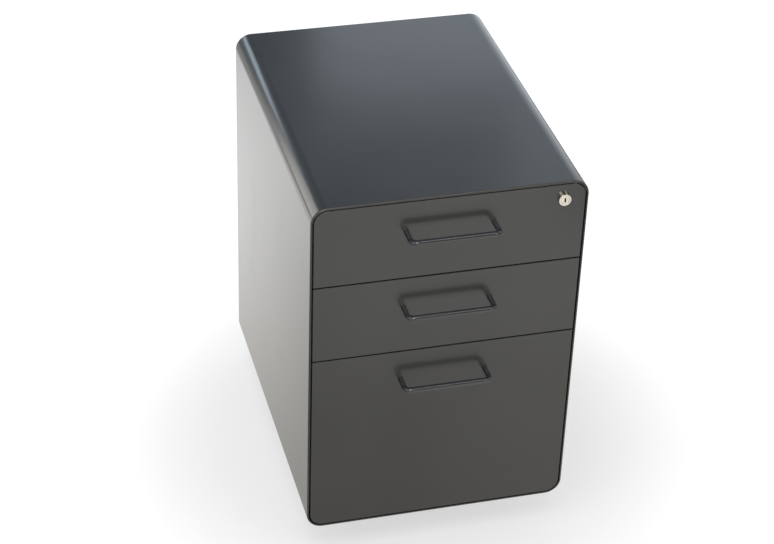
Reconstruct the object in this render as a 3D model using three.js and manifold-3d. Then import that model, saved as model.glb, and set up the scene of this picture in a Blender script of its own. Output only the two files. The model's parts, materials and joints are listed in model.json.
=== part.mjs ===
// A mobile drawer pedestal of coated sheet steel: two box drawers, a file drawer, a lock and four casters.
// Millimetres. +Z is up and the drawers face -Y. The origin is on the floor, under the middle of the
// whole object.
import * as THREE from "three";
import { mergeVertices } from "three/addons/utils/BufferGeometryUtils.js";
import Module from "manifold-3d";

const wasm = await Module();
wasm.setup();

// Clearances
const seatGap = 0.3; // between pieces that sit against each other
const slideRunGap = 0.4; // between the members of a slide
const overrun = 5; // how far a cutter passes the face it cuts

// Cabinet
const cabinetWidth = 400;
const cabinetDepth = 518;
const cabinetCornerRadius = 24.4;
const shellSheet = 1.2;
const rimWidth = 2.8;
const rimDepth = 14;
const backRecess = 2;
const backSheet = 1;
const backFlange = 10;
const basePanSheet = 2;
const basePanHeight = 10;
const basePanSideMargin = 4; // from the start of the shell's corner bend
const basePanFront = 20; // behind the front plane
const counterweightWidth = 300;
const counterweightDepth = 20;
const counterweightHeight = 130;

// Uprights, which carry the slides
const uprightWidth = 30;
const uprightDepth = 10;
const uprightSheet = 1.5;
const uprightEndMargin = 3; // from the start of the shell's corner bend
const uprightFront = 20; // behind the front plane
const uprightRearMargin = 28; // from the slides' rear ends

// Drawer fronts
const frontGap = 2;
const frontDepth = 18;
const frontSheet = 1.2;
const frontBendRadius = 0.3; // inside
const frontLip = 22; // height of the return at the foot of a front, which the tray is welded to
const boxFrontHeight = 124.3;
const fileFrontHeight = 302.5;

// Drawer trays
const traySheet = 1;
const trayRearMargin = 12.7; // from the slides' rear ends
const trayLift = 14; // above the lower edge of the drawer's front
const boxTrayDrop = 20.3; // from the front's top edge to the tray's
const boxHemWidth = 6;
const fileTrayDrop = 26.5;
const folderRailWidth = 13.2; // from the tray's inner wall
const folderRailLip = 8;

// Slides
const slideWidth = 12.7;
const slideFront = 36; // behind the front plane
const slideRearMargin = 29; // from the back panel
const slideSheet = 1.2;
const slideLipReach = 10.3; // how far a member's lips stand out from its outer face
const boxSlideHeight = 35;
const boxSlideRise = 26; // centre line above the tray's floor
const fileSlideHeight = 45;
const fileSlideRise = 40;

// Handles and their screws
const handleSpacing = 127; // between the two legs' centre lines
const handleRod = 8;
const handleReach = 32.5; // how far the bar stands out from the front
const handleBendRadius = 9; // of the rod's centre line
const handleDrop = 49; // from the front's top edge to the bar's centre line
const screwShank = 3.4;
const screwHead = 8;
const screwHeadHeight = 2.6;
const screwReach = 10; // into the handle's leg
const screwTipClear = 2; // at the bottom of the leg's bore

// Lock
const lockDrop = 22.2; // from the top front's upper edge
const lockInset = 32; // from the top front's right edge
const lockFaceDiameter = 18.5;
const lockFaceProud = 6;
const lockBarrelWall = 1.2;
const lockPlugDiameter = 12;
const lockPlugRecess = 0.4;
const lockSpigotDiameter = 6;
const lockSpigotReach = 1; // past the cam
const lockTailClear = 2.7; // from the spigot's end to the back of the front
const keywayWidth = 2.2;
const keywayHeight = 7;
const keywayDepth = 9;
const lockNutWidth = 20; // across its flats
const lockNutHeight = 4;
const camSheet = 2;
const camHubRadius = 7;
const camTipRadius = 5;

// Lock bar and the drawer catches that its tabs hold
const barSheet = 1.2;
const barFrontMargin = 1; // behind the front edge of the upright
const barRearMargin = 2; // in front of the slides
const barTravel = 9;
const barTongueWidth = 10;
const barTongueSheet = 2.5;
const barTongueLead = 2; // in front of the cam
const tabClear = 1.3; // beside the tray's wall
const tabSheet = 2;
const tabSetback = 3; // behind the bar's front edge
const tabHeight = 7;
const tabPlay = 1;
const catchPlay = 1.5; // behind the tab
const catchSheet = 3.5;
const catchHeight = 7;
const catchReach = 8.8;
const boxCatchDrop = 35; // from the tray's top edge
const fileCatchDrop = 36;

// Casters
const casterSideInset = 56;
const casterFrontInset = 70;
const casterRearInset = 75;
const casterTrail = 15; // from the swivel axis back to the axle
const wheelDiameter = 32;
const wheelWidth = 20;
const wheelHubWall = 3.6; // round the bore
const wheelRimWall = 3.5;
const wheelDishDepth = 2;
const wheelDishSlopeShare = 0.36; // of the dish's width, on each side
const wheelShoulder = 2;
const axleDiameter = 6;
const axleHeadDiameter = 9;
const axleHeadLength = 1.5;
const axlePlay = 0.4; // round the axle
const forkSheet = 2;
const forkSideClear = 1; // beside the wheel
const forkTopClear = 4; // above the wheel
const forkDiscDiameter = 34;
const forkLegEnd = 14; // width of a leg where it holds the axle
const forkNose = 10; // in front of the swivel axis
const kingpinDiameter = 8;
const kingpinHeadDiameter = 12;
const kingpinHeadHeight = 1.5;
const casterPlateSize = 60;
const casterPlateSheet = 2.5;
const casterPlateRadius = 6;
const casterBoltHole = 5.5;
const casterBoltInset = 9;
const casterRaceDiameter = 32;
const casterRaceHeight = 4.9;
const leverPivotDiameter = 4;
const leverPivotWall = 7; // from the pivot to the fork's rear edge
const leverHubDiameter = 6.4;
const leverHubClear = 1.3; // between the hub and the wheel
const leverNoseSheet = 2;
const leverPedalReach = 16;
const leverPedalSheet = 2.6;
const leverPress = THREE.MathUtils.degToRad(20); // from released to braked

// Facets
const cornerFacets = 8; // in an arc of an outline, unless a call says otherwise
const smallFacets = 12; // round a rod, screw or pin
const roundFacets = 24; // round a lock or race
const wheelFacets = 28;
const handleBendFacets = 5;

const coatedSteel = new THREE.MeshStandardMaterial({ color: 0x50504c, roughness: 0.42, metalness: 0.1 });
const coatedInside = new THREE.MeshStandardMaterial({ color: 0x4a4b49, roughness: 0.55, metalness: 0.1 });
const rodFinish = new THREE.MeshStandardMaterial({ color: 0x3c4042, roughness: 0.25, metalness: 0.6 });
const zincSteel = new THREE.MeshStandardMaterial({ color: 0xb4b6b8, roughness: 0.35, metalness: 0.9 });
const chrome = new THREE.MeshStandardMaterial({ color: 0xdcdad4, roughness: 0.12, metalness: 1 });
const castIron = new THREE.MeshStandardMaterial({ color: 0x3a3a3a, roughness: 0.8, metalness: 0.3 });
const blackNylon = new THREE.MeshStandardMaterial({ color: 0x1c1c1d, roughness: 0.5, metalness: 0 });

// Levels and lines that several pieces share. Heights count from the shell's lower edge.
const frontWidth = cabinetWidth - 2 * (rimWidth + frontGap);
const frontCornerRadius = cabinetCornerRadius - rimWidth - frontGap;
const frontEdgeRadius = frontSheet + frontBendRadius;
const wallInner = cabinetWidth / 2 - shellSheet;
const uprightFace = wallInner - seatGap - uprightDepth;
const slideOuter = uprightFace - seatGap;
const slideInner = slideOuter - slideWidth;
const trayHalf = slideInner - seatGap;
const trayFront = frontDepth + seatGap;
const barFront = uprightFront + barFrontMargin;
const barRear = slideFront - barRearMargin;
const tabFront = barFront + tabSetback;
const catchFront = tabFront + tabSheet + catchPlay;
const lockX = frontWidth / 2 - lockInset;
const lockBarrelRadius = lockPlugDiameter / 2 + seatGap + lockBarrelWall;
const camFront = frontDepth - lockTailClear - lockSpigotReach - camSheet;
const lockBarrelRear = camFront - seatGap;
const camReach = slideOuter - camTipRadius - lockX;
const camLean = Math.asin((camHubRadius - camTipRadius) / camReach); // of the cam's edges
const backPanelRear = cabinetDepth - backRecess;
const basePanRear = backPanelRear - backSheet - backFlange - seatGap;
const slideRear = backPanelRear - backSheet - slideRearMargin;
const trayRear = slideRear - trayRearMargin;
const axleHeight = (wheelDiameter / 2) * Math.cos(Math.PI / wheelFacets);
const forkTop = wheelDiameter + forkTopClear + forkSheet;
const casterHeight = forkTop + casterRaceHeight + casterPlateSheet + 2 * seatGap;
const leverPivotReach = wheelDiameter / 2 + leverHubClear + leverHubDiameter / 2;
const leverPivotRise = forkTop - forkSheet - seatGap - leverHubDiameter / 2 - axleHeight;
const leverPivotBack = Math.sqrt(leverPivotReach ** 2 - leverPivotRise ** 2);
const leverNoseReach = leverPivotReach - wheelDiameter / 2 - seatGap;
const forkRear = casterTrail + leverPivotBack + leverPivotWall;
const frontPlane = (handleReach - cabinetDepth) / 2;

const drawers = [
  {
    name: "file",
    frontHeight: fileFrontHeight,
    lowerRadius: frontCornerRadius,
    upperRadius: frontEdgeRadius,
    trayDrop: fileTrayDrop,
    hemWidth: folderRailWidth,
    folderLip: folderRailLip,
    slideHeight: fileSlideHeight,
    slideRise: fileSlideRise,
    catchDrop: fileCatchDrop,
    slideMembers: 3,
  },
  {
    name: "middle",
    frontHeight: boxFrontHeight,
    lowerRadius: frontEdgeRadius,
    upperRadius: frontEdgeRadius,
    trayDrop: boxTrayDrop,
    hemWidth: boxHemWidth,
    folderLip: 0,
    slideHeight: boxSlideHeight,
    slideRise: boxSlideRise,
    catchDrop: boxCatchDrop,
    slideMembers: 2,
  },
  {
    name: "top",
    frontHeight: boxFrontHeight,
    lowerRadius: frontEdgeRadius,
    upperRadius: frontCornerRadius,
    trayDrop: boxTrayDrop,
    hemWidth: boxHemWidth,
    folderLip: 0,
    slideHeight: boxSlideHeight,
    slideRise: boxSlideRise,
    catchDrop: boxCatchDrop,
    slideMembers: 2,
  },
];
let drawerBottom = rimWidth + frontGap;
for (const drawer of drawers) {
  drawer.bottom = drawerBottom;
  drawer.trayHeight = drawer.frontHeight - trayLift - drawer.trayDrop;
  drawer.catchRise = drawer.trayHeight - drawer.catchDrop;
  drawerBottom += drawer.frontHeight + frontGap;
}
const cabinetHeight = drawerBottom + rimWidth;
const topDrawer = drawers.at(-1);
const lockZ = topDrawer.frontHeight - lockDrop; // above the top front's lower edge

// Joining and cutting

function solidOf(geometry) {
  const bare = new THREE.BufferGeometry();
  bare.setAttribute("position", geometry.getAttribute("position"));
  bare.setIndex(geometry.index);
  const merged = mergeVertices(bare);
  return new wasm.Manifold(
    new wasm.Mesh({
      numProp: 3,
      vertProperties: merged.attributes.position.array,
      triVerts: new Uint32Array(merged.index.array),
    }),
  );
}

function geometryOf(solid) {
  const mesh = solid.getMesh();
  const geometry = new THREE.BufferGeometry();
  geometry.setAttribute("position", new THREE.BufferAttribute(mesh.vertProperties, mesh.numProp));
  geometry.setIndex(new THREE.BufferAttribute(mesh.triVerts, 1));
  geometry.computeVertexNormals();
  return geometry;
}

function shaped(added, cut = []) {
  let solid = solidOf(added[0]);
  for (const geometry of added.slice(1)) solid = solid.add(solidOf(geometry));
  for (const geometry of cut) solid = solid.subtract(solidOf(geometry));
  return geometryOf(solid);
}

// Outlines and stock shapes

function outline(left, bottom, right, top, lowerRadius, upperRadius) {
  const quarter = Math.PI / 2;
  const shape = new THREE.Shape();
  shape.absarc(left + lowerRadius, bottom + lowerRadius, lowerRadius, 2 * quarter, 3 * quarter);
  shape.absarc(right - lowerRadius, bottom + lowerRadius, lowerRadius, 3 * quarter, 4 * quarter);
  shape.absarc(right - upperRadius, top - upperRadius, upperRadius, 0, quarter);
  shape.absarc(left + upperRadius, top - upperRadius, upperRadius, quarter, 2 * quarter);
  return shape;
}

function channel(web, lips, low, high, sheet) {
  const inward = Math.sign(lips - web) * sheet;
  return new THREE.Shape([
    new THREE.Vector2(web, low),
    new THREE.Vector2(lips, low),
    new THREE.Vector2(lips, low + sheet),
    new THREE.Vector2(web + inward, low + sheet),
    new THREE.Vector2(web + inward, high - sheet),
    new THREE.Vector2(lips, high - sheet),
    new THREE.Vector2(lips, high),
    new THREE.Vector2(web, high),
  ]);
}

function disc(radius, x = 0, y = 0) {
  const shape = new THREE.Shape();
  shape.absarc(x, y, radius, 0, 2 * Math.PI);
  return shape;
}

function extrudeUp(shape, low, high, facets = cornerFacets) {
  const depth = high - low;
  // An outline's arc is cut into twice as many pieces as curveSegments says.
  const settings = { depth, bevelEnabled: false, curveSegments: facets / 2 };
  return new THREE.ExtrudeGeometry(shape, settings).translate(0, 0, low);
}

// The outline's axes are X and Z.
function extrudeBack(shape, front, rear, facets = cornerFacets) {
  return extrudeUp(shape, 0, rear - front, facets).rotateX(Math.PI / 2).translate(0, rear, 0);
}

// The outline's axes are Y and Z.
function extrudeAcross(shape, left, right, facets = cornerFacets) {
  const turned = extrudeUp(shape, 0, right - left, facets).rotateX(Math.PI / 2).rotateZ(Math.PI / 2);
  return turned.translate(left, 0, 0);
}

function block(left, right, front, rear, low, high) {
  const stock = new THREE.BoxGeometry(right - left, rear - front, high - low);
  return stock.translate((left + right) / 2, (front + rear) / 2, (low + high) / 2);
}

// Turned about the Y axis from a profile of [radius, y] points.
function turned(profile, facets) {
  return new THREE.LatheGeometry(profile.map(([radius, y]) => new THREE.Vector2(radius, y)), facets);
}

function pinAlongY(radius, front, rear, x = 0, z = 0, facets = smallFacets) {
  const profile = [
    [0, front],
    [radius, front],
    [radius, rear],
    [0, rear],
  ];
  return turned(profile, facets).translate(x, 0, z);
}

function pinAlongX(radius, left, right, y, z, facets = smallFacets) {
  return pinAlongY(radius, left, right, 0, 0, facets).rotateZ(-Math.PI / 2).translate(0, y, z);
}

function pinAlongZ(radius, low, high, facets = smallFacets) {
  return pinAlongY(radius, low, high, 0, 0, facets).rotateX(Math.PI / 2);
}

function addPart(group, name, geometry, material) {
  const mesh = new THREE.Mesh(geometry, material);
  mesh.name = name;
  group.add(mesh);
  return mesh;
}

function addGroup(parent, x, y, z) {
  const group = new THREE.Group();
  group.position.set(x, y, z);
  parent.add(group);
  return group;
}

// Cabinet

function cabinetOutline(inset) {
  const half = cabinetWidth / 2 - inset;
  const radius = cabinetCornerRadius - inset;
  return outline(-half, inset, half, cabinetHeight - inset, radius, radius);
}

function shellGeometry() {
  const stock = extrudeBack(cabinetOutline(0), 0, cabinetDepth);
  const mouth = extrudeBack(cabinetOutline(rimWidth), -overrun, rimDepth + overrun);
  const inside = extrudeBack(cabinetOutline(shellSheet), rimDepth, cabinetDepth + overrun);
  return shaped([stock], [mouth, inside]);
}

function backPanelGeometry() {
  const edge = shellSheet + seatGap;
  const faceFront = backPanelRear - backSheet;
  const stock = extrudeBack(cabinetOutline(edge), faceFront - backFlange, backPanelRear);
  const pocket = extrudeBack(cabinetOutline(edge + backSheet), faceFront - backFlange - overrun, faceFront);
  return shaped([stock], [pocket]);
}

function basePanGeometry() {
  const half = cabinetWidth / 2 - cabinetCornerRadius - basePanSideMargin;
  const low = shellSheet + seatGap;
  const stock = block(-half, half, basePanFront, basePanRear, low, low + basePanHeight);
  const innerHalf = half - basePanSheet;
  const floor = low + basePanSheet;
  const front = basePanFront + basePanSheet;
  const rear = basePanRear - basePanSheet;
  return shaped([stock], [block(-innerHalf, innerHalf, front, rear, floor, low + basePanHeight + overrun)]);
}

function counterweightGeometry() {
  const half = counterweightWidth / 2;
  const rear = basePanRear - basePanSheet - seatGap;
  const low = shellSheet + seatGap + basePanSheet + seatGap;
  return block(-half, half, rear - counterweightDepth, rear, low, low + counterweightHeight);
}

function uprightGeometry(side, front) {
  const web = side * uprightFace;
  const lips = side * (uprightFace + uprightDepth);
  const low = cabinetCornerRadius + uprightEndMargin;
  const section = channel(web, lips, front, front + uprightWidth, uprightSheet);
  return extrudeUp(section, low, cabinetHeight - low);
}

// Slides. A member is a C channel, and each one runs inside the lips of the last.

function slideMemberGeometry(side, web, lips, halfHeight) {
  const section = channel(side * web, side * lips, -halfHeight, halfHeight, slideSheet);
  return extrudeBack(section, slideFront, slideRear);
}

function slideHalfHeight(drawer, level) {
  return drawer.slideHeight / 2 - level * (slideSheet + slideRunGap);
}

function addSlides(cabinet, tray, drawer) {
  const z = drawer.bottom + trayLift + drawer.slideRise;
  const members = drawer.slideMembers;
  const outerLips = slideOuter - slideLipReach;
  for (const [word, side] of [["left", -1], ["right", 1]]) {
    const outer = slideMemberGeometry(side, slideOuter, outerLips, slideHalfHeight(drawer, 0));
    addPart(cabinet, `${drawer.name}_slide_cabinet_${word}`, outer, zincSteel).position.z = z;
    if (members === 3) {
      const web = slideOuter - slideSheet - slideRunGap;
      const middle = slideMemberGeometry(side, web, outerLips, slideHalfHeight(drawer, 1));
      addPart(cabinet, `${drawer.name}_slide_middle_${word}`, middle, zincSteel).position.z = z;
    }
    const lips = slideOuter - (members - 1) * (slideSheet + slideRunGap);
    const inner = slideMemberGeometry(side, slideInner, lips, slideHalfHeight(drawer, members - 1));
    addPart(tray, `${drawer.name}_slide_drawer_${word}`, inner, zincSteel).position.z = z - drawer.bottom;
  }
}

// Drawers. Their own frame has its origin at the middle of the front's lower edge.

function frontGeometry(drawer, hasLock) {
  const half = frontWidth / 2;
  const { frontHeight, lowerRadius, upperRadius } = drawer;
  const edge = frontSheet;
  const stock = extrudeBack(outline(-half, 0, half, frontHeight, lowerRadius, upperRadius), 0, frontDepth);
  const side = half - edge;
  const top = frontHeight - edge;
  const hollow = outline(-side, edge, side, top, lowerRadius - edge, upperRadius - edge);
  const mouth = outline(-side, frontLip, side, top, frontEdgeRadius, upperRadius - edge);
  const cut = [
    extrudeBack(hollow, frontSheet, frontDepth - frontSheet),
    extrudeBack(mouth, frontSheet, frontDepth + overrun),
  ];
  for (const x of [-handleSpacing / 2, handleSpacing / 2]) {
    cut.push(pinAlongY(screwShank / 2 + seatGap, -overrun, overrun, x, frontHeight - handleDrop));
  }
  if (hasLock) {
    const bore = lockBarrelRadius + seatGap;
    cut.push(pinAlongY(bore, -overrun, overrun, lockX, lockZ, roundFacets));
  }
  return shaped([stock], cut);
}

function trayGeometry(drawer) {
  const top = trayLift + drawer.trayHeight;
  const innerHalf = trayHalf - traySheet;
  const mouthHalf = innerHalf - drawer.hemWidth;
  const innerFront = trayFront + traySheet;
  const innerRear = trayRear - traySheet;
  const added = [block(-trayHalf, trayHalf, trayFront, trayRear, trayLift, top)];
  const catchLow = trayLift + drawer.catchRise;
  const catchRear = catchFront + catchSheet;
  const catchSide = trayHalf + catchReach;
  added.push(block(innerHalf, catchSide, catchFront, catchRear, catchLow, catchLow + catchHeight));
  if (drawer.folderLip > 0) {
    const lipTop = top + drawer.folderLip;
    for (const lipSide of [-mouthHalf - traySheet, mouthHalf]) {
      added.push(block(lipSide, lipSide + traySheet, trayFront, trayRear, top - traySheet, lipTop));
    }
  }
  const floor = trayLift + traySheet;
  const hollow = block(-innerHalf, innerHalf, innerFront, innerRear, floor, top - traySheet);
  const mouthFront = innerFront + boxHemWidth;
  const mouthRear = innerRear - boxHemWidth;
  const mouth = block(-mouthHalf, mouthHalf, mouthFront, mouthRear, floor, top + overrun);
  return shaped(added, [hollow, mouth]);
}

// The centre line of a handle's rod: a leg, a bend, the bar, a bend and a leg.
class HandleLine extends THREE.Curve {
  // Straight runs take one step each and bends take several, whatever their lengths.
  getUtoTmapping(share) {
    return share;
  }

  getPoint(share) {
    const steps = 3 + 2 * handleBendFacets;
    const fromEnd = Math.min(share, 1 - share) * steps;
    const half = handleSpacing / 2;
    const barY = -(handleReach - handleRod / 2);
    const along = Math.min(fromEnd, 1);
    const bent = THREE.MathUtils.clamp(fromEnd - 1, 0, handleBendFacets);
    const turn = (bent / handleBendFacets) * (Math.PI / 2);
    const bar = Math.max(fromEnd - 1 - handleBendFacets, 0) * 2;
    const legEnd = barY + handleBendRadius;
    const bendX = handleBendRadius * (1 - Math.cos(turn));
    const bendY = handleBendRadius * Math.sin(turn);
    const x = half - bendX - bar * (half - handleBendRadius);
    const y = -seatGap + along * (legEnd + seatGap) - bendY;
    return new THREE.Vector3(share < 0.5 ? -x : x, y, 0);
  }
}

function handleGeometry() {
  const steps = 3 + 2 * handleBendFacets;
  const settings = { steps, extrudePath: new HandleLine(), curveSegments: smallFacets / 2 };
  const rod = new THREE.ExtrudeGeometry(disc(handleRod / 2), settings);
  const boreEnd = -screwReach - screwTipClear;
  const bores = [-handleSpacing / 2, handleSpacing / 2].map((x) =>
    pinAlongY(screwShank / 2 + seatGap, boreEnd, overrun, x),
  );
  return shaped([rod], bores);
}

function screwGeometry() {
  const seat = frontSheet + seatGap;
  return turned(
    [
      [0, -screwReach],
      [screwShank / 2, -screwReach],
      [screwShank / 2, seat],
      [screwHead / 2, seat],
      [screwHead / 2, seat + screwHeadHeight],
      [0, seat + screwHeadHeight],
    ],
    smallFacets,
  );
}

function addDrawer(cabinet, drawer) {
  const hasLock = drawer === topDrawer;
  const group = addGroup(cabinet, 0, 0, drawer.bottom);
  addPart(group, `${drawer.name}_front`, frontGeometry(drawer, hasLock), coatedSteel);
  addPart(group, `${drawer.name}_tray`, trayGeometry(drawer), coatedInside);
  addSlides(cabinet, group, drawer);
  const handles = addGroup(group, 0, 0, drawer.frontHeight - handleDrop);
  addPart(handles, `${drawer.name}_handle`, handleGeometry(), rodFinish);
  for (const [word, side] of [["left", -1], ["right", 1]]) {
    const screw = addPart(handles, `${drawer.name}_handle_screw_${word}`, screwGeometry(), zincSteel);
    screw.position.x = (side * handleSpacing) / 2;
  }
  if (hasLock) addLock(addGroup(group, lockX, 0, lockZ));
}

// Lock. Its own frame has its origin on the plug's axis, in the front's outer face.

function lockHousingGeometry() {
  const bore = lockPlugDiameter / 2 + seatGap;
  const profile = [
    [bore, -lockFaceProud],
    [lockFaceDiameter / 2, -lockFaceProud],
    [lockFaceDiameter / 2, -seatGap],
    [lockBarrelRadius, -seatGap],
    [lockBarrelRadius, lockBarrelRear],
    [bore, lockBarrelRear],
    [bore, -lockFaceProud],
  ];
  return turned(profile, roundFacets);
}

function lockPlugGeometry() {
  const face = lockPlugRecess - lockFaceProud;
  const spigotEnd = camFront + camSheet + lockSpigotReach;
  const profile = [
    [0, face],
    [lockPlugDiameter / 2, face],
    [lockPlugDiameter / 2, lockBarrelRear],
    [lockSpigotDiameter / 2, lockBarrelRear],
    [lockSpigotDiameter / 2, spigotEnd],
    [0, spigotEnd],
  ];
  const slotSide = keywayWidth / 2;
  const slotTop = keywayHeight / 2;
  const slot = block(-slotSide, slotSide, face - overrun, face + keywayDepth, -slotTop, slotTop);
  return shaped([turned(profile, roundFacets)], [slot]);
}

function lockNutGeometry() {
  const cornerRadius = lockNutWidth / 2 / Math.cos(Math.PI / 6);
  const corners = [0, 1, 2, 3, 4, 5].map((corner) => {
    const angle = (corner * Math.PI) / 3;
    return new THREE.Vector2(cornerRadius * Math.cos(angle), cornerRadius * Math.sin(angle));
  });
  const shape = new THREE.Shape(corners);
  shape.holes.push(disc(lockBarrelRadius + seatGap));
  const front = frontSheet + seatGap;
  return extrudeBack(shape, front, front + lockNutHeight, roundFacets);
}

function lockCamGeometry() {
  const arm = new THREE.Shape();
  arm.absarc(0, 0, camHubRadius, -camLean, Math.PI + camLean);
  arm.absarc(0, -camReach, camTipRadius, Math.PI + camLean, 2 * Math.PI - camLean);
  arm.holes.push(disc(lockSpigotDiameter / 2 + seatGap));
  return extrudeBack(arm, camFront, camFront + camSheet, smallFacets);
}

function addLock(lock) {
  addPart(lock, "lock_housing", lockHousingGeometry(), chrome);
  addPart(lock, "lock_nut", lockNutGeometry(), zincSteel);
  addPart(lock, "lock_plug", lockPlugGeometry(), chrome);
  addPart(lock, "lock_cam", lockCamGeometry(), zincSteel);
}

function lockBarGeometry() {
  const side = slideOuter;
  const camToTongue = side - barTongueWidth - lockX;
  const camHalf = (camHubRadius - camToTongue * Math.sin(camLean)) / Math.cos(camLean);
  const tongueLow = topDrawer.bottom + lockZ + camHalf + seatGap - barTravel;
  const tongueTop = tongueLow + barTongueSheet;
  const tabTops = drawers.map((drawer) => drawer.bottom + trayLift + drawer.catchRise - tabPlay);
  const low = Math.min(...tabTops) - tabHeight;
  const added = [block(side - barSheet, side, barFront, barRear, low, tongueTop)];
  const tongueFront = camFront - barTongueLead;
  added.push(block(side - barTongueWidth, side, tongueFront, barRear, tongueLow, tongueTop));
  for (const top of tabTops) {
    added.push(block(trayHalf + tabClear, side, tabFront, tabFront + tabSheet, top - tabHeight, top));
  }
  return shaped(added);
}

// Casters. Their own frame has its origin on the floor, under the swivel axis, with the wheel behind it.

function casterPlateGeometry() {
  const half = casterPlateSize / 2;
  const top = casterHeight - seatGap;
  const low = top - casterPlateSheet;
  const plate = outline(-half, -half, half, half, casterPlateRadius, casterPlateRadius);
  const bolt = half - casterBoltInset;
  for (const x of [-bolt, bolt]) {
    for (const y of [-bolt, bolt]) plate.holes.push(disc(casterBoltHole / 2, x, y));
  }
  const raceLow = forkTop + seatGap;
  const headTop = forkTop - forkSheet - seatGap;
  const race = pinAlongZ(casterRaceDiameter / 2, raceLow, low + casterPlateSheet / 2, roundFacets);
  const pin = pinAlongZ(kingpinDiameter / 2, headTop - kingpinHeadHeight, low);
  const head = pinAlongZ(kingpinHeadDiameter / 2, headTop - kingpinHeadHeight, headTop);
  return shaped([extrudeUp(plate, low, top), race, pin, head]);
}

function forkLegShape(hasBrake) {
  const end = forkLegEnd / 2;
  const leg = new THREE.Shape();
  leg.moveTo(-forkNose, forkTop);
  leg.lineTo(-forkNose, forkTop - forkSheet);
  leg.absarc(casterTrail, axleHeight, end, Math.PI, 2 * Math.PI);
  leg.lineTo(forkRear, forkTop - forkSheet);
  leg.lineTo(forkRear, forkTop);
  leg.holes.push(disc(axleDiameter / 2 + axlePlay, casterTrail, axleHeight));
  if (hasBrake) {
    const y = casterTrail + leverPivotBack;
    leg.holes.push(disc(leverPivotDiameter / 2 + seatGap, y, axleHeight + leverPivotRise));
  }
  return leg;
}

function forkGeometry(hasBrake) {
  const inner = wheelWidth / 2 + forkSideClear;
  const outer = inner + forkSheet;
  const low = forkTop - forkSheet;
  const leg = forkLegShape(hasBrake);
  const added = [
    pinAlongZ(forkDiscDiameter / 2, low, forkTop, roundFacets),
    block(-outer, outer, -forkNose, forkRear, low, forkTop),
    extrudeAcross(leg, -outer, -inner, smallFacets),
    extrudeAcross(leg, inner, outer, smallFacets),
  ];
  return shaped(added, [pinAlongZ(kingpinDiameter / 2 + seatGap, low - overrun, forkTop + overrun)]);
}

function axleGeometry() {
  const seat = wheelWidth / 2 + forkSideClear + forkSheet + seatGap;
  const end = seat + axleHeadLength;
  const shank = axleDiameter / 2;
  const head = axleHeadDiameter / 2;
  const profile = [
    [0, -end],
    [head, -end],
    [head, -seat],
    [shank, -seat],
    [shank, seat],
    [head, seat],
    [head, end],
    [0, end],
  ];
  return turned(profile, smallFacets).rotateZ(-Math.PI / 2);
}

function wheelGeometry() {
  const half = wheelWidth / 2;
  const web = half - wheelDishDepth;
  const bore = axleDiameter / 2 + axlePlay;
  const hub = bore + wheelHubWall;
  const tread = wheelDiameter / 2;
  const rim = tread - wheelRimWall;
  const slope = (rim - hub) * wheelDishSlopeShare;
  const profile = [
    [bore, -half],
    [hub, -half],
    [hub + slope, -web],
    [rim - slope, -web],
    [rim, -half],
    [tread - wheelShoulder, -half],
    [tread, -half + wheelShoulder],
    [tread, half - wheelShoulder],
    [tread - wheelShoulder, half],
    [rim, half],
    [rim - slope, web],
    [hub + slope, web],
    [hub, half],
    [bore, half],
    [bore, -half],
  ];
  // Turned by half a facet, so that it stands on a flat of the tread.
  return turned(profile, wheelFacets).rotateY(Math.PI / wheelFacets).rotateZ(-Math.PI / 2);
}

function leverGeometry() {
  const half = wheelWidth / 2 + forkSideClear - seatGap;
  const pinEnd = half + forkSheet;
  const towardsAxle = Math.atan2(-leverPivotRise, -leverPivotBack);
  const pedal = block(-half, half, 0, leverPedalReach, -leverPedalSheet / 2, leverPedalSheet / 2);
  const nose = block(-half, half, 0, leverNoseReach, -leverNoseSheet / 2, leverNoseSheet / 2);
  nose.rotateX(towardsAxle + leverPress);
  const hub = pinAlongX(leverHubDiameter / 2, -half, half, 0, 0);
  const pivot = pinAlongX(leverPivotDiameter / 2, -pinEnd, pinEnd, 0, 0);
  return shaped([hub, pivot, pedal, nose]);
}

function addCaster(parent, name, x, y, hasBrake) {
  const caster = addGroup(parent, x, y, 0);
  addPart(caster, `${name}_plate`, casterPlateGeometry(), zincSteel);
  addPart(caster, `${name}_fork`, forkGeometry(hasBrake), zincSteel);
  const axleLine = addGroup(caster, 0, casterTrail, axleHeight);
  addPart(axleLine, `${name}_axle`, axleGeometry(), zincSteel);
  addPart(axleLine, `${name}_wheel`, wheelGeometry(), blackNylon);
  if (hasBrake) {
    const lever = addPart(axleLine, `${name}_brake_lever`, leverGeometry(), blackNylon);
    lever.position.set(0, leverPivotBack, leverPivotRise);
  }
}

const pedestal = new THREE.Group();
const cabinet = addGroup(pedestal, 0, frontPlane, casterHeight);
addPart(cabinet, "outer_shell", shellGeometry(), coatedSteel);
addPart(cabinet, "back_panel", backPanelGeometry(), coatedSteel);
addPart(cabinet, "base_pan", basePanGeometry(), zincSteel);
addPart(cabinet, "counterweight", counterweightGeometry(), castIron);
for (const [word, side] of [["left", -1], ["right", 1]]) {
  const rearFront = slideRear - uprightRearMargin - uprightWidth;
  addPart(cabinet, `upright_front_${word}`, uprightGeometry(side, uprightFront), zincSteel);
  addPart(cabinet, `upright_rear_${word}`, uprightGeometry(side, rearFront), zincSteel);
}
for (const drawer of drawers) addDrawer(cabinet, drawer);
addPart(cabinet, "lock_bar", lockBarGeometry(), zincSteel);
for (const [word, side] of [["left", -1], ["right", 1]]) {
  const x = side * (cabinetWidth / 2 - casterSideInset);
  addCaster(pedestal, `caster_front_${word}`, x, frontPlane + casterFrontInset, true);
  addCaster(pedestal, `caster_rear_${word}`, x, frontPlane + cabinetDepth - casterRearInset, false);
}

export default pedestal;
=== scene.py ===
import json
from math import atan2, cos, pi, radians

import bmesh
import bpy
from mathutils import Matrix, Vector


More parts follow.
